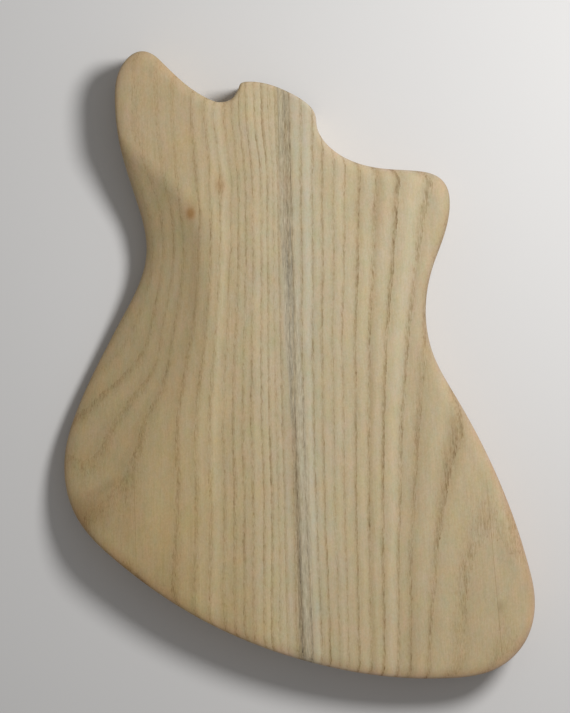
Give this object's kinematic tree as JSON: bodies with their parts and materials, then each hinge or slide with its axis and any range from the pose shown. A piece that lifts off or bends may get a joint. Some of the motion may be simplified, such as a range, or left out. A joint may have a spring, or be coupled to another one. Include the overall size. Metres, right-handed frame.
{
  "type": "electric guitar body",
  "caption": "Bare offset electric guitar body of two edge-glued ash boards, with a belly cut, rounded edges, an open neck pocket and cavities in its face.",
  "frame": {"origin": "centre of the body's box, on the plane of its face, where it lies on a table face down", "axes": "+Y along the glue line towards the neck, +Z from the face to the contoured back, +X towards the short horn"},
  "size_m": [0.37, 0.5, 0.0445],
  "materials": {
    "left_ash": "bare sanded ash, matte",
    "right_ash": "bare sanded ash, matte"
  },
  "bodies": {
    "root": {"left_board": "left_ash", "right_board": "right_ash"}
  },
  "joints": []
}
